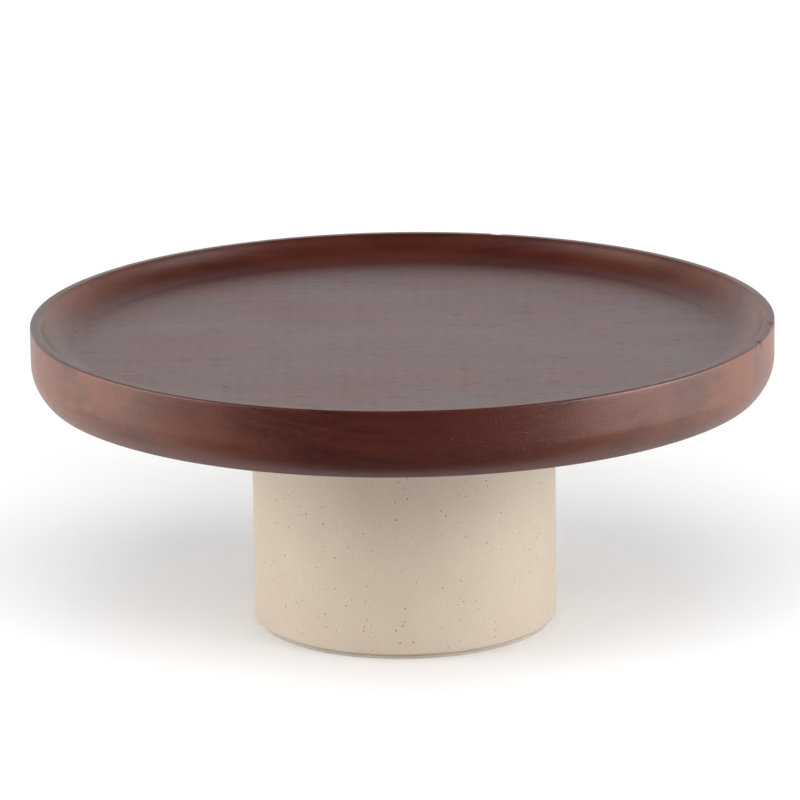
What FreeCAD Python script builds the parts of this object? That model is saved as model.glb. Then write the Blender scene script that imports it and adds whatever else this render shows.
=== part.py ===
"""Cake stand: an edge-glued wooden plate that twists on to a hollow stoneware pedestal.

Frame: origin on the table plane under the pedestal's axis, +Z up, +X along the plate's grain.
Every size is in millimetres and is driven by the cells of the "sizes" sheet.
"""

import FreeCAD, Part
import math
import os
import re

import Sketcher

# Driving dimensions: (alias, value, what it is).
SIZES = [
    ("stand_height", 128.0, "table to the top of the plate's lip"),
    ("plate_diameter", 304.0, "outside of the plate"),
    ("plate_thickness", 28.0, "underside to the top of the lip"),
    ("side_height", 15.0, "upright part of the plate's edge"),
    ("belly_radius", 18.0, "round under the plate's edge"),
    ("edge_break", 0.8, "sanded corner between the round and the underside"),
    ("lip_width", 4.0, "top of the lip, well edge to outside"),
    ("lip_outer_round", 1.5, "round at the lip's outer edge"),
    ("lip_inner_round", 0.8, "round at the lip's inner edge"),
    ("well_depth", 9.0, "lip to the floor of the well"),
    ("cove_radius", 18.0, "curve between the well's floor and the lip"),
    ("pedestal_diameter", 125.0, "outside of the pedestal"),
    ("pedestal_wall", 7.0, "thickness of the pedestal's wall"),
    ("deck_thickness", 9.0, "wall across the pedestal"),
    ("deck_recess", 9.0, "pedestal's rim down to the deck"),
    ("deck_hole", 16.0, "clearance hole in the deck"),
    ("recess_round", 3.0, "corner inside the recess above the deck"),
    ("hollow_round", 6.0, "corner inside the hollow below the deck"),
    ("pedestal_round", 1.2, "outer edges of the pedestal, top and foot"),
    ("foot_thickness", 2.0, "non-slip ring under the foot"),
    ("foot_inset", 2.0, "ring's edge behind the pedestal's side"),
    ("foot_width", 4.5, "band width of the non-slip ring"),
    ("cushion_thickness", 1.0, "ring between pedestal and plate"),
    ("cushion_inset", 2.0, "ring's edge behind the pedestal's side"),
    ("cushion_width", 4.5, "band width of the cushion ring"),
    ("thread_diameter", 8.0, "major diameter of the bolt and the insert"),
    ("thread_play", 0.05, "radial play of the bolt in the insert"),
    ("washer_play", 0.2, "radial play of the washers on the bolt"),
    ("bolt_length", 35.0, "bolt under its head"),
    ("bolt_tip_chamfer", 1.0, "cone at the bolt's tip"),
    ("head_height", 5.3, "bolt's head"),
    ("nut_height", 4.0, "jam nut"),
    ("spanner_width", 13.0, "across the flats of head and nut"),
    ("rubber_diameter", 30.0, "rubber washers"),
    ("rubber_thickness", 2.0, "rubber washers"),
    ("steel_diameter", 24.0, "steel washers"),
    ("steel_thickness", 1.6, "steel washers"),
    ("insert_diameter", 12.0, "outside of the insert's barrel"),
    ("insert_length", 13.0, "insert, flange included"),
    ("flange_diameter", 16.0, "insert's flange"),
    ("flange_thickness", 1.2, "insert's flange, let in flush"),
    ("insert_gap", 1.0, "hole in the wood beyond the insert"),
]

# Widths of the glued boards, front to back. They add up to the plate's diameter.
BOARD_WIDTHS = [58.0, 66.0, 54.0, 68.0, 58.0]

# Heights and radii that follow from the driving dimensions: (alias, formula).
DERIVED = [
    ("plate_radius", "plate_diameter / 2"),
    ("underside", "stand_height - plate_thickness"),
    ("side_foot", "stand_height - side_height"),
    ("belly_drop", "side_foot - underside"),
    ("belly_inset", "belly_radius - sqrt(belly_radius ^ 2 - belly_drop ^ 2)"),
    ("floor_height", "stand_height - well_depth"),
    ("lip_radius", "plate_radius - lip_width"),
    ("cove_reach", "sqrt(cove_radius ^ 2 - (cove_radius - well_depth) ^ 2)"),
    ("floor_radius", "lip_radius - cove_reach"),
    ("pedestal_radius", "pedestal_diameter / 2"),
    ("bore_radius", "pedestal_radius - pedestal_wall"),
    ("rim_height", "underside - cushion_thickness"),
    ("deck_top", "rim_height - deck_recess"),
    ("deck_underside", "deck_top - deck_thickness"),
    ("thread_radius", "thread_diameter / 2"),
    ("bolt_radius", "thread_radius - thread_play"),
    ("washer_bore", "bolt_radius + washer_play"),
    ("lower_rubber", "deck_underside - rubber_thickness"),
    ("lower_steel", "lower_rubber - steel_thickness"),
    ("head_underside", "lower_steel - head_height"),
    ("upper_steel", "deck_top + rubber_thickness"),
    ("nut_foot", "upper_steel + steel_thickness"),
    ("bolt_tip", "lower_steel + bolt_length"),
]


def make_sheet(doc):
    """The spreadsheet that holds every driving and derived dimension."""
    sheet = doc.addObject("Spreadsheet::Sheet", "sizes")
    boards = [(f"board_{i + 1}_width", w, "glued board") for i, w in enumerate(BOARD_WIDTHS)]
    row = 0
    for alias, value, note in SIZES + boards:
        row += 1
        sheet.set(f"A{row}", str(value))
        sheet.setAlias(f"A{row}", alias)
        sheet.set(f"B{row}", note)
    for alias, formula in DERIVED:
        row += 1
        sheet.set(f"A{row}", "=" + formula)
        sheet.setAlias(f"A{row}", alias)
    doc.recompute()
    return sheet


def cells(formula):
    """The formula with each alias pointed at the sheet, for use in another object's expression."""
    names = [a for a, *_ in SIZES + DERIVED] + [f"board_{i + 1}_width" for i in range(len(BOARD_WIDTHS))]
    return re.sub(r"[a-z]\w*", lambda m: f"sizes.{m[0]}" if m[0] in names else m[0], formula)


def bind(obj, **formulas):
    """Binds each named property of obj to a formula on the sheet."""
    for prop, formula in formulas.items():
        obj.setExpression(prop.replace("__", "."), cells(formula))


def origin_plane(body, role):
    """One of the body's own origin planes."""
    return next(o for o in body.Origin.OriginFeatures if o.Role == role)


def arc_through(start, end, radius, turn):
    """An arc from start to end, turning left (turn = 1) or right (turn = -1), less than half a circle."""
    chord = end - start
    middle = (start + end) * 0.5
    left = FreeCAD.Vector(-chord.y, chord.x, 0) * (turn / chord.Length)
    centre = middle + left * math.sqrt(radius**2 - (chord.Length / 2) ** 2)
    first, last = (start, end) if turn > 0 else (end, start)
    angles = [math.atan2(p.y - centre.y, p.x - centre.x) for p in (first, last)]
    circle = Part.Circle(centre, FreeCAD.Vector(0, 0, 1), radius)
    return Part.ArcOfCircle(circle, angles[0], angles[1])


def draw_outline(sheet, sketch, corners):
    """Draws a closed outline whose corners are (radius formula, height formula[, arc radius, turn]).

    An arc radius and a turn make the side that leaves that corner an arc; otherwise it is straight.
    """
    points = [FreeCAD.Vector(value(sheet, c[0]), value(sheet, c[1]), 0) for c in corners]
    ends = []
    for i, corner in enumerate(corners):
        start, end = points[i], points[(i + 1) % len(points)]
        if len(corner) > 2:
            side = sketch.addGeometry(arc_through(start, end, value(sheet, corner[2]), corner[3]))
            bound = sketch.addConstraint(Sketcher.Constraint("Radius", side, value(sheet, corner[2])))
            sketch.setExpression(f"Constraints[{bound}]", cells(corner[2]))
            ends.append((side, 1, 2) if corner[3] > 0 else (side, 2, 1))
        else:
            side = sketch.addGeometry(Part.LineSegment(start, end))
            ends.append((side, 1, 2))
    for i, corner in enumerate(corners):
        side, first, _ = ends[i]
        before, _, last = ends[i - 1]
        sketch.addConstraint(Sketcher.Constraint("Coincident", before, last, side, first))
        for kind, formula in (("DistanceX", corner[0]), ("DistanceY", corner[1])):
            size = value(sheet, formula)
            bound = sketch.addConstraint(Sketcher.Constraint(kind, -1, 1, side, first, size))
            sketch.setExpression(f"Constraints[{bound}]", cells(formula))


def value(sheet, formula):
    """A formula's value in millimetres, as the sheet stands."""
    return float(sheet.evalExpression(cells(formula).replace("sizes.", "")))


def turned(doc, sheet, label, corners):
    """A turned piece: a body with one outline, revolved a full turn about the stand's axis."""
    body = doc.addObject("PartDesign::Body", label)
    body.Label = label
    sketch = body.newObject("Sketcher::SketchObject", label + "_outline")
    sketch.AttachmentSupport = [(origin_plane(body, "XZ_Plane"), "")]
    sketch.MapMode = "FlatFace"
    draw_outline(sheet, sketch, corners)
    revolution = body.newObject("PartDesign::Revolution", label + "_turning")
    revolution.Profile = sketch
    revolution.ReferenceAxis = (sketch, ["V_Axis"])
    revolution.Angle = 360
    sketch.Visibility = False
    doc.recompute()
    return body


def ring(doc, sheet, label, inner, outer, foot, thickness):
    """A flat ring whose underside is at height foot."""
    top = f"{foot} + {thickness}"
    return turned(doc, sheet, label, [(inner, foot), (outer, foot), (outer, top), (inner, top)])


def plate_blank(doc, sheet):
    """The whole plate, before it is parted into its boards: dished above, bored below for the insert."""
    hole_top = "underside + insert_length + insert_gap"
    flange = "flange_diameter / 2"
    barrel = "insert_diameter / 2"
    inset = "plate_radius - belly_inset"
    outline = [
        (barrel, hole_top),
        (barrel, "underside + flange_thickness"),
        (flange, "underside + flange_thickness"),
        (flange, "underside"),
        (inset, "underside", "belly_radius", 1),
        ("plate_radius", "side_foot"),
        ("plate_radius", "stand_height"),
        ("lip_radius", "stand_height", "cove_radius", -1),
        ("floor_radius", "floor_height"),
        ("0 * plate_radius", "floor_height"),
        ("0 * plate_radius", hole_top),
    ]
    body = turned(doc, sheet, "plate_blank", outline)
    round_edge(doc, sheet, body, "lip_outer", "plate_radius", "stand_height", "lip_outer_round")
    round_edge(doc, sheet, body, "lip_inner", "lip_radius", "stand_height", "lip_inner_round")
    round_edge(doc, sheet, body, "underside_edge", inset, "underside", "edge_break")
    return body


def round_edge(doc, sheet, body, name, radius, height, size):
    """Rounds the circular edge of the body that has that radius and height."""
    wanted = (value(sheet, radius), value(sheet, height))
    found = []
    for number, edge in enumerate(body.Shape.Edges, 1):
        if isinstance(edge.Curve, Part.Circle):
            off = abs(edge.Curve.Radius - wanted[0]) + abs(edge.Curve.Center.z - wanted[1])
            if off < 1e-4:
                found.append(f"Edge{number}")
    if not found:
        raise ValueError(f"{body.Label} has no edge for {name}")
    base = body.Tip
    fillet = body.newObject("PartDesign::Fillet", f"{body.Label}_{name}")
    fillet.Base = (base, found)
    bind(fillet, Radius=size)
    doc.recompute()


def board(doc, blank, number):
    """One glued board: the slice of the plate between two glue lines."""
    front = " + ".join(["0 * board_1_width"] + [f"board_{i}_width" for i in range(1, number)])
    slab = doc.addObject("Part::Box", f"board_{number}_slab")
    bind(
        slab,
        Length="plate_diameter",
        Width=f"board_{number}_width",
        Height="plate_thickness",
        Placement__Base__x="0 - plate_radius",
        Placement__Base__y=f"{front} - plate_radius",
        Placement__Base__z="underside",
    )
    piece = doc.addObject("Part::MultiCommon", f"plate_board_{number}")
    piece.Label = f"plate_board_{number}"
    piece.Shapes = [blank, slab]
    return piece


def pedestal(doc, sheet):
    """The stoneware cylinder: a recessed deck near its top, hollow and open below."""
    recess = "bore_radius - recess_round"
    hollow = "bore_radius - hollow_round"
    outline = [
        ("bore_radius", "foot_thickness"),
        ("pedestal_radius - pedestal_round", "foot_thickness", "pedestal_round", 1),
        ("pedestal_radius", "foot_thickness + pedestal_round"),
        ("pedestal_radius", "rim_height - pedestal_round", "pedestal_round", 1),
        ("pedestal_radius - pedestal_round", "rim_height"),
        ("bore_radius", "rim_height"),
        ("bore_radius", "deck_top + recess_round", "recess_round", -1),
        (recess, "deck_top"),
        ("deck_hole / 2", "deck_top"),
        ("deck_hole / 2", "deck_underside"),
        (hollow, "deck_underside", "hollow_round", -1),
        ("bore_radius", "deck_underside - hollow_round"),
    ]
    return turned(doc, sheet, "pedestal", outline)


def threaded_insert(doc, sheet):
    """The brass insert: a barrel with a flange, bored for the bolt."""
    top = "underside + insert_length"
    outline = [
        ("thread_radius", "underside"),
        ("flange_diameter / 2", "underside"),
        ("flange_diameter / 2", "underside + flange_thickness"),
        ("insert_diameter / 2", "underside + flange_thickness"),
        ("insert_diameter / 2", top),
        ("thread_radius", top),
    ]
    return turned(doc, sheet, "threaded_insert", outline)


def hexagon(doc, name, foot, height):
    """A six-sided prism on the stand's axis, spanner_width across its flats."""
    prism = doc.addObject("Part::Prism", name)
    prism.Polygon = 6
    bind(
        prism,
        Circumradius="spanner_width / sqrt(3)",
        Height=height,
        Placement__Base__z=foot,
    )
    return prism


def stud_bolt(doc, sheet):
    """The captive bolt: hexagonal head below the deck, shank up through it into the insert."""
    bare = "bolt_radius - bolt_tip_chamfer"
    outline = [
        ("0 * bolt_radius", "lower_steel"),
        ("bolt_radius", "lower_steel"),
        ("bolt_radius", "bolt_tip - bolt_tip_chamfer"),
        (bare, "bolt_tip"),
        ("0 * bolt_radius", "bolt_tip"),
    ]
    shank = turned(doc, sheet, "bolt_shank", outline)
    bolt = doc.addObject("Part::MultiFuse", "stud_bolt")
    bolt.Label = "stud_bolt"
    bolt.Shapes = [hexagon(doc, "bolt_head", "head_underside", "head_height"), shank]
    bolt.Refine = True
    return bolt


def jam_nut(doc):
    """The thin nut that holds the bolt to the deck."""
    bore = doc.addObject("Part::Cylinder", "nut_bore")
    bind(bore, Radius="bolt_radius", Height="nut_height", Placement__Base__z="nut_foot")
    nut = doc.addObject("Part::Cut", "jam_nut")
    nut.Label = "jam_nut"
    nut.Base = hexagon(doc, "nut_block", "nut_foot", "nut_height")
    nut.Tool = bore
    return nut


def build(doc):
    """Every sub-part of the stand, plate first."""
    sheet = make_sheet(doc)
    if abs(sum(BOARD_WIDTHS) - value(sheet, "plate_diameter")) > 1e-9:
        raise ValueError("the boards don't add up to the plate's diameter")
    blank = plate_blank(doc, sheet)
    parts = [board(doc, blank, i + 1) for i in range(len(BOARD_WIDTHS))]
    parts.append(threaded_insert(doc, sheet))
    parts.append(stud_bolt(doc, sheet))
    parts.append(jam_nut(doc))
    for label, foot in (("rubber_washer_upper", "deck_top"), ("rubber_washer_lower", "lower_rubber")):
        parts.append(ring(doc, sheet, label, "washer_bore", "rubber_diameter / 2", foot, "rubber_thickness"))
    for label, foot in (("steel_washer_upper", "upper_steel"), ("steel_washer_lower", "lower_steel")):
        parts.append(ring(doc, sheet, label, "washer_bore", "steel_diameter / 2", foot, "steel_thickness"))
    parts.append(pedestal(doc, sheet))
    for label, name, foot in (
        ("cushion_ring", "cushion", "rim_height"),
        ("foot_ring", "foot", "0 * foot_thickness"),
    ):
        outer = f"pedestal_radius - {name}_inset"
        inner = f"pedestal_radius - {name}_inset - {name}_width"
        parts.append(ring(doc, sheet, label, inner, outer, foot, f"{name}_thickness"))
    doc.recompute()
    return parts


def check(doc, parts):
    """Stops on any object that failed to compute, and on any sub-part that isn't one sound solid."""
    for obj in doc.Objects:
        if "Invalid" in obj.State or "Error" in obj.State:
            raise ValueError(f"{obj.Name} failed: {obj.State}")
    for part in parts:
        shape = part.Shape
        if shape.isNull() or not shape.isValid() or len(shape.Solids) != 1:
            raise ValueError(f"{part.Label} is not one valid solid")


def main():
    doc = FreeCAD.newDocument("cake_stand")
    parts = build(doc)
    check(doc, parts)
    os.makedirs("parts", exist_ok=True)
    for part in parts:
        box = part.Shape.optimalBoundingBox()
        part.Shape.exportStep(f"parts/{part.Label}.step")
        print(f"{part.Label}: {part.Shape.Volume:.0f} mm3, z {box.ZMin:.2f} to {box.ZMax:.2f}")


main()
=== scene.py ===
"""Cake stand: a stained wooden plate on a speckled stoneware pedestal, in studio light.

Everything is in metres, in the frame of the CAD model: origin on the table under the stand's
axis, +Z up, +X along the plate's grain, -Y towards the camera. Outlines are lists of (radius,
height), anticlockwise seen with the axis on the left, and are turned about the Z axis.
"""

import math

import bmesh
import bpy
from mathutils import Matrix, Vector, noise


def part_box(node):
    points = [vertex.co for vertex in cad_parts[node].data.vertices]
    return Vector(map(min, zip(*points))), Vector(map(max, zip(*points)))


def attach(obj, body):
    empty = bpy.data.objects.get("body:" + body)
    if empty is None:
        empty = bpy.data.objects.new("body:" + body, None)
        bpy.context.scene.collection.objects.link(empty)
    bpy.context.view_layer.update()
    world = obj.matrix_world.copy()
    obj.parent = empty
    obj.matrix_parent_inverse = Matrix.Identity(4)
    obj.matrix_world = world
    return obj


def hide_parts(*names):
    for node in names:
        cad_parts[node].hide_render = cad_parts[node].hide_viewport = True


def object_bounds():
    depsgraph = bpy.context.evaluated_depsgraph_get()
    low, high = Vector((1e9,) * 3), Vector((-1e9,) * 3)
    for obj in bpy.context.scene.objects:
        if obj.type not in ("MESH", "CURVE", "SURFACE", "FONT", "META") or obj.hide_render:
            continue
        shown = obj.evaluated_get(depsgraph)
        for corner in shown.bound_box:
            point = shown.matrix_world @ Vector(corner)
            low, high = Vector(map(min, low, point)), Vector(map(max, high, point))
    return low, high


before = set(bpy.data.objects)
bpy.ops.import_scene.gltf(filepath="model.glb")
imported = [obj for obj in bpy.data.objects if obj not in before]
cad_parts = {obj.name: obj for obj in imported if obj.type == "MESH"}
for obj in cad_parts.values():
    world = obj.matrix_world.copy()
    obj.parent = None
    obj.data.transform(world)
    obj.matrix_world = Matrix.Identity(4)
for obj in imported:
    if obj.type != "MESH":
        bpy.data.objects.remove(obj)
cad_low, cad_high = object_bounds()

MM = 0.001
BOARDS = [f"plate_board_{i}" for i in range(1, 6)]
PLATE_BODY = "plate"
BASE_BODY = "base"
CREASE = math.radians(40)


# ---------------------------------------------------------------- outlines and turned meshes

def arc(centre, radius, start, stop, steps):
    """Points on an arc from angle start to angle stop, in degrees, both ends included."""
    angles = [math.radians(start + (stop - start) * i / steps) for i in range(steps + 1)]
    return [(centre[0] + radius * math.cos(a), centre[1] + radius * math.sin(a)) for a in angles]


def straight(start, end, steps):
    """Points along a straight stretch, both ends included."""
    return [
        (start[0] + (end[0] - start[0]) * i / steps, start[1] + (end[1] - start[1]) * i / steps)
        for i in range(steps + 1)
    ]


def joined(*stretches):
    """One outline from several stretches, without the points that repeat where they meet."""
    outline = []
    for point in (p for stretch in stretches for p in stretch):
        if not outline or math.dist(point, outline[-1]) > 1e-7:
            outline.append(point)
    if math.dist(outline[0], outline[-1]) < 1e-7:
        outline.pop()
    return outline


def even_angles(count):
    """Angles in equal steps round the whole turn."""
    return [2 * math.pi * i / count for i in range(count)]


def turn(outline, angles, shape=None):
    """A closed mesh made by turning an outline about the Z axis.

    Points on the axis become one vertex. shape moves a point: it takes and returns a Vector.
    """
    bm = bmesh.new()
    rings = []
    for radius, height in outline:
        if radius < 1e-9:
            rings.append([bm.verts.new((0, 0, height))] * len(angles))
        else:
            places = [Vector((radius * math.cos(a), radius * math.sin(a), height)) for a in angles]
            rings.append([bm.verts.new(shape(p) if shape else p) for p in places])
    on_axis = [radius < 1e-9 for radius, _ in outline]
    for i, ring in enumerate(rings):
        above = rings[(i + 1) % len(rings)]
        if on_axis[i] and on_axis[(i + 1) % len(rings)]:
            continue
        for j in range(len(angles)):
            k = (j + 1) % len(angles)
            corners = []
            for vert in (ring[j], ring[k], above[k], above[j]):
                if vert not in corners:
                    corners.append(vert)
            bm.faces.new(corners)
    bmesh.ops.recalc_face_normals(bm, faces=bm.faces)
    return bm


def finish_piece(bm, name, material, body, nodes):
    """Makes a piece of a bmesh: smooth but for its creases, riding on a body, standing for CAD nodes."""
    for face in bm.faces:
        face.smooth = True
    for edge in bm.edges:
        if len(edge.link_faces) == 2 and edge.calc_face_angle() > CREASE:
            edge.smooth = False
    mesh = bpy.data.meshes.new(name)
    bm.to_mesh(mesh)
    bm.free()
    mesh.materials.append(material)
    piece = bpy.data.objects.new(name, mesh)
    bpy.context.scene.collection.objects.link(piece)
    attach(piece, body)
    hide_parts(*nodes)
    return piece


# ---------------------------------------------------------------- material nodes

def start_material(name):
    """A new material, its node tree and its Principled shader."""
    material = bpy.data.materials.new(name)
    material.use_nodes = True
    return material, material.node_tree, material.node_tree.nodes["Principled BSDF"]


def add(tree, kind, inputs=None, **settings):
    """Adds a node. An input's value is a number, a tuple or another node's output."""
    node = tree.nodes.new("ShaderNode" + kind)
    for name, value in settings.items():
        setattr(node, name, value)
    for key, value in (inputs or {}).items():
        if isinstance(value, bpy.types.NodeSocket):
            tree.links.new(value, node.inputs[key])
        else:
            node.inputs[key].default_value = value
    return node


def calc(tree, operation, *values):
    """One step of arithmetic on numbers or nodes' outputs."""
    return add(tree, "Math", dict(enumerate(values)), operation=operation).outputs[0]


def move(tree, operation, vector, by):
    """Adds or multiplies a vector by a tuple or another vector."""
    return add(tree, "VectorMath", {0: vector, 1: by}, operation=operation).outputs[0]


def grain_noise(tree, place, scale, detail=3.0, roughness=0.55):
    """Noise whose cells are 1/scale metres along each axis."""
    spread = move(tree, "MULTIPLY", place, scale)
    inputs = {"Vector": spread, "Scale": 1.0, "Detail": detail, "Roughness": roughness}
    return add(tree, "TexNoise", inputs).outputs["Fac"]


def ramp(tree, factor, stops):
    """Blends between (position, colour) stops."""
    node = add(tree, "ValToRGB", {"Fac": factor})
    elements = node.color_ramp.elements
    while len(elements) < len(stops):
        elements.new(0.5)
    for element, (position, colour) in zip(elements, stops):
        element.position = position
        element.color = (*colour, 1)
    return node.outputs["Color"]


def fade(tree, value, low, high):
    """0 where value is at low, 1 where it is at high, smooth between; low may be the larger."""
    inputs = {"Value": value, "From Min": low, "From Max": high}
    return add(tree, "MapRange", inputs, interpolation_type="SMOOTHSTEP").outputs["Result"]


def tint(tree, factor, colour, other):
    """Mixes two colours; each may be a tuple or a node's output."""
    node = add(tree, "Mix", data_type="RGBA")
    for key, value in ((0, factor), (6, colour), (7, other)):
        if isinstance(value, bpy.types.NodeSocket):
            tree.links.new(value, node.inputs[key])
        else:
            node.inputs[key].default_value = value if key == 0 else (*value, 1)
    return node.outputs[2]


def scattered(tree, place, scale, share, size, seed):
    """Spots, one in some of the cells of a grid: 1 inside a spot, 0 outside.

    share is how many cells have one, and size the largest spot's radius as a share of a cell.
    """
    spread = move(tree, "ADD", move(tree, "MULTIPLY", place, scale), (seed, seed * 1.7, seed * 0.3))
    cell = add(tree, "TexVoronoi", {"Vector": spread, "Scale": 1.0, "Randomness": 0.9})
    parts = add(tree, "SeparateColor", {"Color": cell.outputs["Color"]})
    radius = calc(tree, "MULTIPLY", parts.outputs["Green"], size)
    edge = calc(tree, "SUBTRACT", radius, cell.outputs["Distance"])
    spot = fade(tree, edge, -0.02, 0.03)
    chosen = calc(tree, "LESS_THAN", parts.outputs["Red"], share)
    return calc(tree, "MULTIPLY", spot, chosen)


# ---------------------------------------------------------------- wood

WOOD_TONES = [
    (0.00, (0.005, 0.0004, 0.0002)),
    (0.35, (0.013, 0.0012, 0.0006)),
    (0.62, (0.026, 0.0026, 0.0013)),
    (1.00, (0.062, 0.0085, 0.0038)),
]
PORE_COLOUR = (0.008, 0.0020, 0.0014)
# Painted side light: the wood's colour is lightened and warmed by this much where its surface faces ±X,
# the plate's left and right sides, standing in for the side lamps' light there.
PAINTED_SIDE_LIGHT_TINT = (2.9, 6.0, 4.2)
RINGS_PER_METRE = 330
RING_WANDER = 0.016
# How much each part of the grain counts in the wood's tone, and what centres their sum.
RING_WEIGHT = 0.38
STREAK_WEIGHT = 0.42
FIBRE_WEIGHT = 0.50
CLOUD_WEIGHT = 0.95
TONE_CENTRE = 0.735


def wood_material(name, seed, pith, tone):
    """Dark-stained, satin-lacquered hardwood, grain along X, solid through the board.

    pith is the (y, z) place of the tree's centre, which sets how the growth rings cross the board;
    tone lightens or darkens the whole board. The rings' wander and the clouds run on from board to
    board, so that no glue line stands out.
    """
    material, tree, shader = start_material(name)
    place = add(tree, "TexCoord").outputs["Object"]
    own = move(tree, "ADD", place, (seed * 0.371, seed * 0.193, seed * 0.737))

    wander = calc(tree, "SUBTRACT", grain_noise(tree, place, (5, 22, 22)), 0.5)
    across = move(tree, "MULTIPLY", move(tree, "SUBTRACT", place, (0, *pith)), (0, 1, 1))
    radius = add(tree, "VectorMath", {0: across}, operation="LENGTH").outputs["Value"]
    age = calc(tree, "MULTIPLY_ADD", wander, RING_WANDER, radius)
    place_in_rings = calc(tree, "MULTIPLY", age, RINGS_PER_METRE)
    inputs = {"W": place_in_rings, "Scale": 1.0, "Detail": 3.0, "Roughness": 0.6}
    rings = add(tree, "TexNoise", inputs, noise_dimensions="1D").outputs["Fac"]
    streaks = grain_noise(tree, own, (6, 120, 120), 3)
    fibres = grain_noise(tree, own, (28, 900, 900), 4, 0.65)
    clouds = grain_noise(tree, place, (16, 34, 34), 3)

    # Painted side light: a mask that is 1 where the surface faces ±X, the plate's left and right sides,
    # and 0 where it faces Y or Z.
    facing = add(tree, "SeparateXYZ", {0: add(tree, "TexCoord").outputs["Normal"]}).outputs["X"]
    painted_side_light = calc(tree, "MULTIPLY", facing, facing)

    level = calc(tree, "MULTIPLY_ADD", rings, RING_WEIGHT, tone - TONE_CENTRE)
    for part, weight in ((streaks, STREAK_WEIGHT), (fibres, FIBRE_WEIGHT), (clouds, CLOUD_WEIGHT)):
        level = calc(tree, "MULTIPLY_ADD", part, weight, level)
    colour = ramp(tree, level, WOOD_TONES)
    # Painted side light: the colour made lighter and more orange on the plate's left and right sides.
    colour = tint(tree, painted_side_light, colour, move(tree, "MULTIPLY", colour, PAINTED_SIDE_LIGHT_TINT))
    pores = scattered(tree, own, (170, 2300, 2300), 0.55, 0.32, seed)
    long_pores = scattered(tree, own, (60, 1200, 1200), 0.22, 0.28, seed + 3)
    open_grain = calc(tree, "MAXIMUM", pores, long_pores)
    colour = tint(tree, calc(tree, "MULTIPLY", open_grain, 0.5), colour, PORE_COLOUR)
    tree.links.new(colour, shader.inputs["Base Color"])

    gloss = calc(tree, "MULTIPLY_ADD", clouds, 0.12, 0.31)
    gloss = calc(tree, "MULTIPLY_ADD", open_grain, 0.20, gloss)
    tree.links.new(gloss, shader.inputs["Roughness"])
    peel = grain_noise(tree, own, (700, 1100, 1100), 2)
    height = calc(tree, "MULTIPLY_ADD", fibres, 0.35, calc(tree, "MULTIPLY", open_grain, -0.8))
    height = calc(tree, "MULTIPLY_ADD", peel, 0.5, height)
    bump = add(tree, "Bump", {"Strength": 0.4, "Distance": 0.00015, "Height": height})
    tree.links.new(bump.outputs["Normal"], shader.inputs["Normal"])
    shader.inputs["IOR"].default_value = 1.5
    return material


LIP_WIDTH = 4.0 * MM
LIP_OUTER_ROUND = 0.8 * MM  # sharper than the CAD's, which is 1.5 mm
LIP_INNER_ROUND = 0.8 * MM
LIP_INNER_END = 150  # degrees: where the inner rounding runs into the cove
SIDE_HEIGHT = 15.0 * MM
BELLY_RADIUS = 18.0 * MM
BELLY_TRIM = 2.5  # degrees of the belly's arc given up to the soft edge under it
EDGE_BREAK = 0.8 * MM
WELL_DEPTH = 9.0 * MM
COVE_RADIUS = 18.0 * MM
COVE_TRIM = 3.5  # degrees of the cove's arc given up to the lip
WELL_CENTRE = 12.0 * MM
INSERT_RADIUS = 6.0 * MM
FLANGE_RADIUS = 8.0 * MM
FLANGE_THICKNESS = 1.2 * MM
INSERT_GAP = 1.0 * MM


def plate_outline(low, high):
    """The plate's half section, from the insert's hole out, up the side and back along the well."""
    radius, under, top = high.x, low.z, high.z
    floor = top - WELL_DEPTH
    side_foot = top - SIDE_HEIGHT
    belly_centre = (radius - BELLY_RADIUS, side_foot)
    belly_end = math.degrees(math.asin((under - side_foot) / BELLY_RADIUS))
    belly_inset = belly_centre[0] + BELLY_RADIUS * math.cos(math.radians(belly_end))
    cove_reach = math.sqrt(COVE_RADIUS**2 - (COVE_RADIUS - WELL_DEPTH) ** 2)
    lip_inner = radius - LIP_WIDTH
    cove_centre = (lip_inner - cove_reach, floor + COVE_RADIUS)
    cove_top = -math.degrees(math.asin((COVE_RADIUS - WELL_DEPTH) / COVE_RADIUS))
    hole_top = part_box("threaded_insert")[1].z + INSERT_GAP
    return joined(
        [(0, hole_top), (INSERT_RADIUS, hole_top), (INSERT_RADIUS, under + FLANGE_THICKNESS)],
        [(FLANGE_RADIUS, under + FLANGE_THICKNESS), (FLANGE_RADIUS, under)],
        straight((FLANGE_RADIUS, under), (belly_inset - EDGE_BREAK, under), 24),
        soft_corner((belly_inset, under), (-1, 0), belly_end + 90, EDGE_BREAK),
        arc(belly_centre, BELLY_RADIUS, belly_end + BELLY_TRIM, 0, 16),
        straight((radius, side_foot), (radius, top - LIP_OUTER_ROUND), 10),
        arc((radius - LIP_OUTER_ROUND, top - LIP_OUTER_ROUND), LIP_OUTER_ROUND, 0, 90, 10),
        straight((radius - LIP_OUTER_ROUND, top), (lip_inner + LIP_INNER_ROUND, top), 3),
        arc((lip_inner + LIP_INNER_ROUND, top - LIP_INNER_ROUND), LIP_INNER_ROUND, 90, LIP_INNER_END, 6),
        arc(cove_centre, COVE_RADIUS, cove_top - COVE_TRIM, -90, 30),
        straight((cove_centre[0], floor), (WELL_CENTRE, floor), 24),
        [(0, floor)],
    )


def soft_corner(corner, before, after, size):
    """Two points that break a corner, size along each side; after is the next side's direction."""
    heading = math.radians(after)
    return [
        (corner[0] + before[0] * size, corner[1] + before[1] * size),
        (corner[0] + math.cos(heading) * size, corner[1] + math.sin(heading) * size),
    ]


# Small knocks on the lip: (angle in degrees from +X, length, depth).
LIP_CHIPS = [(-9.0, 5.0 * MM, 0.9 * MM), (-20.0, 2.5 * MM, 0.5 * MM), (74.0, 3.0 * MM, 0.5 * MM)]
CHIP_HEIGHT = 2.4 * MM
SANDING = 0.10 * MM


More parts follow.
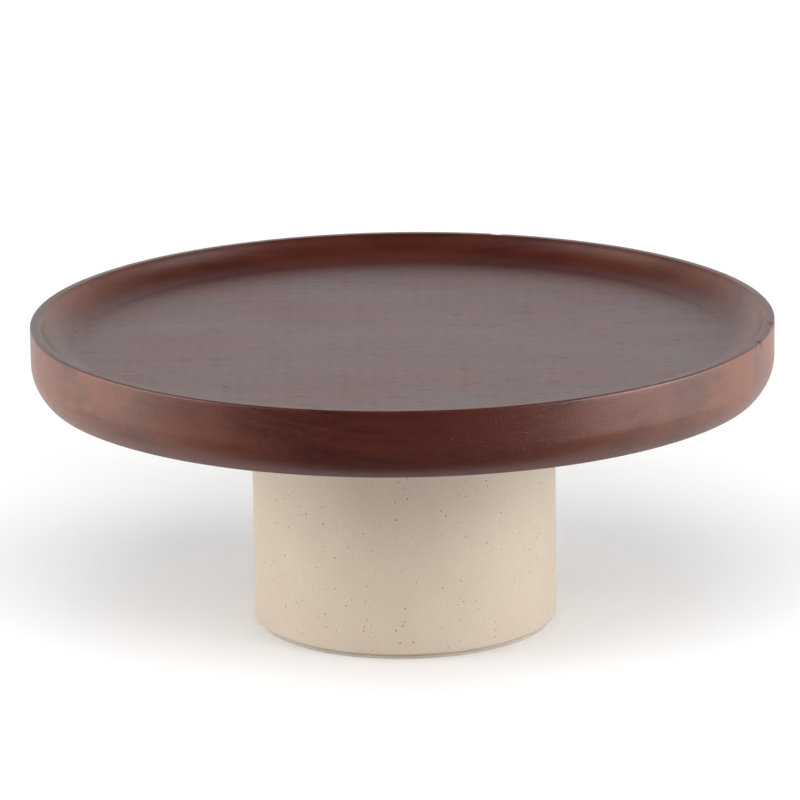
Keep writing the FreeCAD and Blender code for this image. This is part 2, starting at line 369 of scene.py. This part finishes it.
def plate_angles():
    """Even steps round the plate, closer together at the chips."""
    steps = {round(i * 0.5, 3) for i in range(720)}
    for angle, length, _ in LIP_CHIPS:
        reach = math.degrees(length / cad_high.x)
        steps |= {round((angle + reach * i / 12) % 360, 3) for i in range(-12, 13)}
    return [math.radians(a) for a in sorted(steps)]


def worn(point):
    """A point of the plate moved as sanding and use leave it: slightly wavy, and chipped at the lip."""
    radius = math.hypot(point.x, point.y)
    top = cad_high.z
    out = Vector((point.x, point.y, 0)) / max(radius, 1e-9)
    wave = noise.noise(point * 28) * SANDING * min(1, radius / 0.05)
    moved = point + out * wave * 0.6
    if point.z > top - WELL_DEPTH - 1 * MM:
        moved.z += noise.noise(point * 17 + Vector((3, 5, 7))) * SANDING * 0.5
    edge = max(0.0, 1 - math.hypot(radius - cad_high.x, point.z - top) / CHIP_HEIGHT)
    for angle, length, depth in LIP_CHIPS:
        along = math.remainder(math.atan2(point.y, point.x) - math.radians(angle), 2 * math.pi)
        off = along * radius / length
        if abs(off) < 1 and edge > 0:
            bite = depth * (1 - off * off) * edge * (1 + 0.5 * noise.noise(point * 900))
            moved -= (out + Vector((0, 0, 1))) * bite * 0.7
    return moved


# The tree's centre beside each board, as (from the board's middle, below the underside).
PITHS = [
    (14 * MM, 46 * MM), (-22 * MM, 70 * MM), (9 * MM, 58 * MM), (30 * MM, 62 * MM), (-12 * MM, 50 * MM),
]
TONES = [0.505, 0.510, 0.505, 0.510, 0.505]


def add_plate():
    """The five boards of the plate: one turned blank, parted at the glue lines."""
    boxes = [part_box(name) for name in BOARDS]
    low = Vector(map(min, *(b[0] for b in boxes)))
    high = Vector(map(max, *(b[1] for b in boxes)))
    blank = turn(plate_outline(low, high), plate_angles(), worn)
    for number, (name, (front, back)) in enumerate(zip(BOARDS, boxes)):
        board = blank.copy()
        for place, outward in ((front.y, -1), (back.y, 1)):
            if abs(place) < high.y - 1 * MM:
                part_at(board, place, outward)
        side, below = PITHS[number]
        pith = ((front.y + back.y) / 2 + side, low.z - below)
        material = wood_material(name + "_wood", number + 1, pith, TONES[number])
        finish_piece(board, name + "_turned", material, PLATE_BODY, [name])
    blank.free()


def part_at(bm, place, outward):
    """Cuts away what lies beyond the plane y = place and closes the cut."""
    everything = bm.verts[:] + bm.edges[:] + bm.faces[:]
    bmesh.ops.bisect_plane(
        bm, geom=everything, dist=1e-7, plane_co=(0, place, 0), plane_no=(0, outward, 0), clear_outer=True
    )
    rim = [e for e in bm.edges if e.is_boundary]
    bmesh.ops.triangle_fill(bm, edges=rim, use_beauty=True)
    bmesh.ops.recalc_face_normals(bm, faces=bm.faces)


# ---------------------------------------------------------------- stoneware

CLAY = [
    (0.00, (0.455, 0.372, 0.285)),
    (0.50, (0.535, 0.448, 0.350)),
    (1.00, (0.615, 0.528, 0.428)),
]
SPECK_COLOUR = (0.20, 0.115, 0.060)
FINE_SPECK_COLOUR = (0.33, 0.235, 0.150)
PALE_SPECK_COLOUR = (0.80, 0.73, 0.64)
SPECK_WOBBLE = 0.9 * MM


def stoneware_material():
    """Matte sand-coloured stoneware with iron specks scattered in it, their outlines uneven."""
    material, tree, shader = start_material("stoneware")
    place = add(tree, "TexCoord").outputs["Object"]
    wobble = add(tree, "TexNoise", {"Vector": place, "Scale": 2600.0, "Detail": 1.0}).outputs["Color"]
    bent = move(tree, "MULTIPLY_ADD", wobble, (SPECK_WOBBLE,) * 3)
    tree.links.new(place, bent.node.inputs[2])
    mottle = grain_noise(tree, place, (45,) * 3, 3)
    sand = grain_noise(tree, place, (1100,) * 3, 3, 0.7)
    level = calc(tree, "MULTIPLY_ADD", mottle, 0.45, calc(tree, "MULTIPLY_ADD", sand, 0.75, -0.10))
    colour = ramp(tree, level, CLAY)
    crowd = fade(tree, grain_noise(tree, place, (70,) * 3, 2), 0.35, 0.60)
    fine = calc(tree, "MULTIPLY", scattered(tree, bent, (800,) * 3, 0.85, 0.23, 2.0), crowd)
    colour = tint(tree, calc(tree, "MULTIPLY", fine, 0.65), colour, FINE_SPECK_COLOUR)
    pale = scattered(tree, bent, (520,) * 3, 0.25, 0.14, 4.0)
    colour = tint(tree, calc(tree, "MULTIPLY", pale, 0.5), colour, PALE_SPECK_COLOUR)
    specks = scattered(tree, bent, (420,) * 3, 0.8, 0.19, 7.0)
    colour = tint(tree, calc(tree, "MULTIPLY", specks, 0.75), colour, SPECK_COLOUR)
    tree.links.new(colour, shader.inputs["Base Color"])
    tree.links.new(calc(tree, "MULTIPLY_ADD", sand, 0.2, 0.60), shader.inputs["Roughness"])
    height = calc(tree, "MULTIPLY_ADD", mottle, 0.5, sand)
    bump = add(tree, "Bump", {"Strength": 0.5, "Distance": 0.00015, "Height": height})
    tree.links.new(bump.outputs["Normal"], shader.inputs["Normal"])
    return material


PEDESTAL_WALL = 7.0 * MM
PEDESTAL_ROUND = 1.2 * MM
INNER_EDGE_ROUND = 0.6 * MM
HOLE_BREAK = 0.5 * MM
DECK_RECESS = 9.0 * MM
DECK_THICKNESS = 9.0 * MM
DECK_HOLE_RADIUS = 8.0 * MM
RECESS_ROUND = 3.0 * MM
HOLLOW_ROUND = 6.0 * MM


def pedestal_outline(low, high):
    """The pedestal's half section, from the foot out, up the side, over the deck and down inside."""
    outer, inner = high.x, high.x - PEDESTAL_WALL
    deck = high.z - DECK_RECESS
    under = deck - DECK_THICKNESS
    edge, inner_edge = PEDESTAL_ROUND, INNER_EDGE_ROUND
    return joined(
        straight((inner + inner_edge, low.z), (outer - edge, low.z), 4),
        arc((outer - edge, low.z + edge), edge, -90, 0, 6),
        straight((outer, low.z + edge), (outer, high.z - edge), 60),
        arc((outer - edge, high.z - edge), edge, 0, 90, 6),
        straight((outer - edge, high.z), (inner + inner_edge, high.z), 4),
        arc((inner + inner_edge, high.z - inner_edge), inner_edge, 90, 180, 4),
        straight((inner, high.z - inner_edge), (inner, deck + RECESS_ROUND), 4),
        arc((inner - RECESS_ROUND, deck + RECESS_ROUND), RECESS_ROUND, 0, -90, 6),
        straight((inner - RECESS_ROUND, deck), (DECK_HOLE_RADIUS + HOLE_BREAK, deck), 10),
        [(DECK_HOLE_RADIUS, deck - HOLE_BREAK)],
        [(DECK_HOLE_RADIUS, under + HOLE_BREAK)],
        straight((DECK_HOLE_RADIUS + HOLE_BREAK, under), (inner - HOLLOW_ROUND, under), 10),
        arc((inner - HOLLOW_ROUND, under - HOLLOW_ROUND), HOLLOW_ROUND, 90, 0, 8),
        straight((inner, under - HOLLOW_ROUND), (inner, low.z + inner_edge), 40),
        arc((inner + inner_edge, low.z + inner_edge), inner_edge, 180, 270, 4),
    )


def fired(point):
    """A point of the pedestal moved as forming and firing leave it: faintly uneven."""
    out = Vector((point.x, point.y, 0)).normalized()
    slow = noise.noise(point * 14) * 0.14 * MM
    quick = noise.noise(Vector((point.x * 20, point.y * 20, point.z * 120))) * 0.05 * MM
    return point + out * (slow + quick - 0.1 * MM)


def add_pedestal():
    low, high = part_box("pedestal")
    bm = turn(pedestal_outline(low, high), even_angles(360), fired)
    finish_piece(bm, "pedestal_fired", stoneware_material(), BASE_BODY, ["pedestal"])


# ---------------------------------------------------------------- rings and fastenings

HEX_HALF = 6.5 * MM
HEX_CORNER = HEX_HALF / math.cos(math.pi / 6)
HEX_FACE = 6.1 * MM
THREAD_RADIUS = 4.0 * MM
BOLT_RADIUS = 3.95 * MM
WASHER_BORE = 4.15 * MM
THREAD_PITCH = 1.25 * MM
THREAD_DEPTH = 0.62 * MM
BOLT_TIP = 1.0 * MM
NUT_SINK = 0.6 * MM
NUT_CLEARANCE = 0.02 * MM
BORE_THREAD_DEPTH = 0.35 * MM
BORE_MOUTH = 0.5 * MM
INSERT_PITCH = 2.5 * MM
INSERT_THREAD_DEPTH = 0.7 * MM


def metal_material(name, dull, bright, roughness):
    """Plated or plain metal with fine turning marks and a slightly uneven, handled surface."""
    material, tree, shader = start_material(name)
    place = add(tree, "TexCoord").outputs["Object"]
    clouds = grain_noise(tree, place, (260,) * 3, 4)
    marks = grain_noise(tree, place, (500, 500, 9000), 2)
    tree.links.new(ramp(tree, clouds, [(0.3, dull), (0.7, bright)]), shader.inputs["Base Color"])
    gloss = calc(tree, "MULTIPLY_ADD", clouds, 0.22, roughness)
    tree.links.new(gloss, shader.inputs["Roughness"])
    height = calc(tree, "MULTIPLY_ADD", marks, 0.5, clouds)
    bump = add(tree, "Bump", {"Strength": 0.3, "Distance": 0.00004, "Height": height})
    tree.links.new(bump.outputs["Normal"], shader.inputs["Normal"])
    shader.inputs["Metallic"].default_value = 1.0
    return material


def rubber_material(name, dark, light, roughness, cells):
    """Moulded rubber or foam: a fine skin texture, cells to the metre, and a little dust."""
    material, tree, shader = start_material(name)
    place = add(tree, "TexCoord").outputs["Object"]
    dust = grain_noise(tree, place, (90,) * 3, 4, 0.65)
    skin = grain_noise(tree, place, (cells,) * 3, 3, 0.6)
    level = calc(tree, "MULTIPLY_ADD", skin, 0.4, calc(tree, "MULTIPLY", dust, 0.6))
    tree.links.new(ramp(tree, level, [(0.25, dark), (0.75, light)]), shader.inputs["Base Color"])
    gloss = calc(tree, "MULTIPLY_ADD", dust, 0.2, roughness)
    tree.links.new(gloss, shader.inputs["Roughness"])
    bump = add(tree, "Bump", {"Strength": 0.5, "Distance": 0.00008, "Height": skin})
    tree.links.new(bump.outputs["Normal"], shader.inputs["Normal"])
    return material


def ring_outline(inner, outer, low, high, edge, bulge=0.0):
    """A flat ring's section with rounded edges; bulge swells its outer side between them."""
    middle = (low + high) / 2
    half = (high - low) / 2 - edge
    side = [
        (outer - bulge * (t / 4) ** 2, middle + half * t / 4)
        for t in range(-4, 5)
    ]
    shoulder = outer - bulge - edge
    return joined(
        straight((inner + edge, low), (shoulder, low), 3),
        arc((shoulder, low + edge), edge, -90, -10, 4),
        side,
        arc((shoulder, high - edge), edge, 10, 90, 4),
        straight((shoulder, high), (inner + edge, high), 3),
        arc((inner + edge, high - edge), edge, 90, 180, 4),
        arc((inner + edge, low + edge), edge, 180, 270, 4),
    )


def add_ring(node, inner, outer, edge, bulge, steps, material):
    """A ring in place of a CAD node, as thick as the node and in its place."""
    low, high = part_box(node)
    bm = turn(ring_outline(inner, outer, low.z, high.z, edge, bulge), even_angles(steps))
    finish_piece(bm, node + "_moulded", material, BASE_BODY, [node])


def add_rings():
    """The cushion ring, the foot ring and the four washers."""
    pad = rubber_material("foot_pad", (0.42, 0.36, 0.30), (0.60, 0.54, 0.47), 0.62, 2600)
    silicone = rubber_material("silicone", (0.60, 0.59, 0.55), (0.74, 0.73, 0.70), 0.30, 1200)
    black = rubber_material("black_rubber", (0.010, 0.010, 0.011), (0.035, 0.034, 0.033), 0.58, 2200)
    steel = metal_material("plated_steel", (0.47, 0.48, 0.49), (0.66, 0.66, 0.65), 0.22)
    foot_outer, pad_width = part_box("foot_ring")[1].x, 4.5 * MM
    cushion_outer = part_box("cushion_ring")[1].x
    add_ring("foot_ring", foot_outer - pad_width, foot_outer, 0.4 * MM, 0.2 * MM, 240, pad)
    add_ring(
        "cushion_ring", cushion_outer - pad_width, cushion_outer, 0.25 * MM, 0.1 * MM, 240, silicone,
    )
    for side in ("upper", "lower"):
        rubber, metal = "rubber_washer_" + side, "steel_washer_" + side
        wide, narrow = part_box(rubber)[1].x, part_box(metal)[1].x
        add_ring(rubber, WASHER_BORE, wide, 0.3 * MM, 0.3 * MM, 96, black)
        add_ring(metal, WASHER_BORE, narrow, 0.2 * MM, 0.0, 96, steel)
    return steel


def crest(height, angle, pitch):
    """How far up a thread's flank a point is: 0 at the root, 1 at the crest."""
    share = (height / pitch - angle / (2 * math.pi)) % 1
    return min(1.0, max(0.0, (1 - abs(2 * share - 1)) * 1.25 - 0.1))


def hexagonal(point, low, high):
    """Moves a point on the corner circle of a nut or head to its hexagon, corners chamfered."""
    angle = math.atan2(point.y, point.x)
    radius = HEX_HALF / math.cos(angle % (math.pi / 3) - math.pi / 6)
    drop = max(0.0, radius - HEX_FACE) * math.tan(math.pi / 6)
    height = low + drop if point.z < (low + high) / 2 else high - drop
    return Vector((radius * math.cos(angle), radius * math.sin(angle), height))


def rows(low, high, pitch):
    """Heights for a threaded stretch, eight to a turn of the thread."""
    count = math.ceil((high - low) / pitch * 8)
    return [low + (high - low) * i / count for i in range(count + 1)]


def add_bolt(steel):
    """The captive bolt: a chamfered hexagonal head, below, and a full thread with a coned tip."""
    low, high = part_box("stud_bolt")
    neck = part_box("steel_washer_lower")[0].z
    tip = high.z - BOLT_TIP

    def shape(point):
        radius = math.hypot(point.x, point.y)
        if abs(radius - HEX_CORNER) < 1e-6:
            return hexagonal(point, low.z, neck)
        if point.z <= neck + 1e-6 or radius < BOLT_RADIUS - THREAD_DEPTH:
            return point
        fullness = min(1.0, (point.z - neck) / THREAD_PITCH)
        deep = THREAD_DEPTH * fullness * (1 - crest(point.z, math.atan2(point.y, point.x), THREAD_PITCH))
        return Vector((point.x, point.y, 0)) * (1 - deep / radius) + Vector((0, 0, point.z))

    shank = [(BOLT_RADIUS, z) for z in rows(neck, tip, THREAD_PITCH)]
    outline = joined(
        [(0, low.z), (HEX_FACE * 0.5, low.z), (HEX_FACE, low.z), (HEX_CORNER, low.z)],
        [(HEX_CORNER, neck), (HEX_FACE, neck)],
        shank,
        straight((BOLT_RADIUS, tip), (BOLT_RADIUS - BOLT_TIP, high.z), 4),
        [(0, high.z)],
    )
    bm = turn(outline, even_angles(72), shape)
    finish_piece(bm, "stud_bolt_threaded", steel, BASE_BODY, ["stud_bolt"])


def add_nut(steel):
    """The thin nut: a hexagon chamfered on both faces, its bore countersunk."""
    low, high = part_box("jam_nut")
    sink = NUT_SINK
    bore = BOLT_RADIUS + NUT_CLEARANCE
    outline = [
        (bore + sink, low.z), (HEX_FACE, low.z), (HEX_CORNER, low.z),
        (HEX_CORNER, high.z), (HEX_FACE, high.z), (bore + sink, high.z),
        (bore, high.z - sink), (bore, low.z + sink),
    ]

    def shape(point):
        at_corner = abs(math.hypot(point.x, point.y) - HEX_CORNER) < 1e-6
        return hexagonal(point, low.z, high.z) if at_corner else point

    bm = turn(outline, even_angles(72), shape)
    finish_piece(bm, "jam_nut_chamfered", steel, BASE_BODY, ["jam_nut"])


def add_insert():
    """The brass insert: threaded bore, flange flush with the wood and a coarse thread outside."""
    low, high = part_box("threaded_insert")
    flange_top = low.z + FLANGE_THICKNESS
    mouth = BORE_MOUTH

    def shape(point):
        radius, angle = math.hypot(point.x, point.y), math.atan2(point.y, point.x)
        out = Vector((point.x, point.y, 0)) / radius
        if abs(radius - THREAD_RADIUS) < 1e-7:
            return point + out * BORE_THREAD_DEPTH * crest(point.z, angle, THREAD_PITCH)
        if abs(radius - INSERT_RADIUS) < 1e-7 and flange_top + 1e-6 < point.z < high.z - 1e-6:
            return point - out * INSERT_THREAD_DEPTH * (1 - crest(point.z, angle, INSERT_PITCH))
        return point

    outline = joined(
        [(THREAD_RADIUS + mouth, low.z), (FLANGE_RADIUS - 0.2 * MM, low.z)],
        [(FLANGE_RADIUS, low.z + 0.2 * MM), (FLANGE_RADIUS, flange_top)],
        [(INSERT_RADIUS, z) for z in rows(flange_top, high.z, THREAD_PITCH)],
        [(THREAD_RADIUS + mouth, high.z)],
        [(THREAD_RADIUS, z) for z in reversed(rows(low.z + mouth, high.z - mouth, THREAD_PITCH))],
    )
    bm = turn(outline, even_angles(72), shape)
    brass = metal_material("insert_brass", (0.55, 0.36, 0.13), (0.80, 0.58, 0.26), 0.20)
    finish_piece(bm, "threaded_insert_turned", brass, PLATE_BODY, ["threaded_insert"])


# ---------------------------------------------------------------- camera, floor and light

CAMERA_BACK = 2.2151
CAMERA_SIDE = -0.0013
CAMERA_HEIGHT = 0.6781
CAMERA_LENS = 251.2
CAMERA_PITCH = math.radians(14.81)
CAMERA_ROLL = math.radians(-0.73)


def add_camera():
    """The photograph's long lens, a little above the plate and very slightly out of level."""
    data = bpy.data.cameras.new("camera")
    data.lens = CAMERA_LENS
    data.sensor_width = 36
    data.clip_end = 50
    camera = bpy.data.objects.new("camera", data)
    bpy.context.scene.collection.objects.link(camera)
    tilt = Matrix.Rotation(math.pi / 2 - CAMERA_PITCH, 4, "X")
    roll = Matrix.Rotation(CAMERA_ROLL, 4, "Z")
    place = Matrix.Translation((CAMERA_SIDE, -CAMERA_BACK, CAMERA_HEIGHT))
    camera.matrix_world = place @ tilt @ roll
    bpy.context.scene.camera = camera


TABLE_FRONT = -0.16
TABLE_REACH = 4.0
FLOOR_REACH = 9.0
FLOOR_COLOUR = (0.95, 0.95, 0.95, 1)
FLOOR_GLOW = 0.03


def add_floor():
    """A pale, faintly lit floor: a table under, beside and behind the stand, and ground round it.

    The ground isn't seen in reflections, so the plate's front edge mirrors a dark room, as it does
    in a studio, where the table ends just in front of the object.
    """
    material, _, shader = start_material("floor")
    shader.inputs["Base Color"].default_value = FLOOR_COLOUR
    shader.inputs["Roughness"].default_value = 0.9
    shader.inputs["Emission Color"].default_value = (1, 1, 1, 1)
    shader.inputs["Emission Strength"].default_value = FLOOR_GLOW
    table = [(-TABLE_REACH, TABLE_FRONT), (TABLE_REACH, TABLE_FRONT), (TABLE_REACH, TABLE_REACH)]
    table.append((-TABLE_REACH, TABLE_REACH))
    outer = [(-FLOOR_REACH, -FLOOR_REACH), (FLOOR_REACH, -FLOOR_REACH), (FLOOR_REACH, FLOOR_REACH)]
    outer.append((-FLOOR_REACH, FLOOR_REACH))
    ring = [(i, (i + 1) % 4, (i + 1) % 4 + 4, i + 4) for i in range(4)]
    for name, places, faces in (("table", table, [(0, 1, 2, 3)]), ("ground", outer + table, ring)):
        mesh = bpy.data.meshes.new(name)
        mesh.from_pydata([(x, y, 0) for x, y in places], [], faces)
        mesh.materials.append(material)
        floor = bpy.data.objects.new(name, mesh)
        bpy.context.scene.collection.objects.link(floor)
        if name == "ground":
            floor.visible_glossy = False


# Softboxes: name, place, the point they face, (width, height), power in watts, spread in degrees and
# what they give: "all" light, only "sheen" (reflections) or only "fill" (no reflections).
SOFTBOXES = [
    ("low_left", (-0.95, 0.0, 0.26), (0, 0, 0.1), (0.6, 0.5), 3.9, 180, "all"),
    ("low_left_front", (-0.9, -0.42, 0.26), (0, -0.15, 0.1), (0.5, 0.5), 3.6, 180, "sheen"),
    ("low_right", (0.95, 0.1, 0.26), (0, 0.05, 0.1), (0.6, 0.5), 3.1, 180, "all"),
    ("low_right_front", (0.9, -0.4, 0.26), (0, -0.2, 0.1), (0.6, 0.5), 11.5, 180, "sheen"),
    ("high_left", (-0.9, -0.7, 0.95), (0, 0, 0.1), (0.8, 0.6), 1.8, 180, "all"),
    ("high_front", (0, -1.3, 1.2), (0, 0, 0.1), (1.4, 1.2), 17.0, 180, "fill"),
    ("over_plate", (0, -0.4, 1.7), (0, 0, 0.1), (1.4, 1.2), 5.0, 180, "fill"),
    ("fill_right", (0.9, -0.6, 0.5), (0, 0, 0.05), (0.5, 0.5), 5.5, 180, "fill"),
    ("fill_left", (-0.95, -0.4, 0.4), (0, 0, 0.05), (0.5, 0.5), 2.5, 180, "fill"),
    ("side_left", (-1.0, 0.1, 1.1), (0, 0.05, 0.1), (0.7, 0.6), 3.4, 180, "all"),
    ("side_right", (1.0, 0.1, 1.1), (0, 0.05, 0.1), (0.7, 0.6), 3.4, 180, "all"),
    ("over_floor", (0, 1.7, 1.6), (0, 1.75, 0), (2.6, 1.4), 18.0, 75, "all"),
]


def add_softboxes():
    """The studio's lamps, none of them seen by the camera itself."""
    for name, place, target, size, power, spread, gives in SOFTBOXES:
        light = bpy.data.lights.new(name, "AREA")
        light.shape = "RECTANGLE"
        light.size, light.size_y = size
        light.energy = power
        light.spread = math.radians(spread)
        lamp = bpy.data.objects.new(name, light)
        bpy.context.scene.collection.objects.link(lamp)
        lamp.visible_camera = False
        lamp.visible_diffuse = gives != "sheen"
        lamp.visible_glossy = gives != "fill"
        lamp.location = place
        aim = Vector(target) - Vector(place)
        lamp.rotation_euler = aim.to_track_quat("-Z", "Y").to_euler()


# The lit wall behind the stand: its strength, and how high and how far round it reaches, given as
# the parts of a unit vector at which it starts to fade and is gone.
WALL = 1.24
WALL_HEIGHT = (0.20, 0.85)
WALL_SIDE = (0.75, 0.05)
AMBIENT = 0.01
BACKDROP = 0.93


def add_world():
    """A dark studio with a low lit wall behind the stand; the camera sees a pale backdrop."""
    world = bpy.data.worlds.new("studio")
    bpy.context.scene.world = world
    world.use_nodes = True
    tree = world.node_tree
    way = add(tree, "SeparateXYZ", {0: add(tree, "TexCoord").outputs["Generated"]})
    low = fade(tree, way.outputs["Z"], WALL_HEIGHT[1], WALL_HEIGHT[0])
    behind = fade(tree, way.outputs["Y"], WALL_SIDE[1], WALL_SIDE[0])
    wall = calc(tree, "MULTIPLY", low, behind)
    level = calc(tree, "MULTIPLY_ADD", wall, WALL, AMBIENT)
    seen = add(tree, "LightPath").outputs["Is Camera Ray"]
    level = add(tree, "Mix", {0: seen, 2: level, 3: BACKDROP}, data_type="FLOAT").outputs[0]
    tree.links.new(level, tree.nodes["Background"].inputs["Color"])
    bpy.context.scene.view_settings.view_transform = "Standard"


add_plate()
add_insert()
add_pedestal()
plated = add_rings()
add_bolt(plated)
add_nut(plated)
add_camera()
add_floor()
add_world()
add_softboxes()
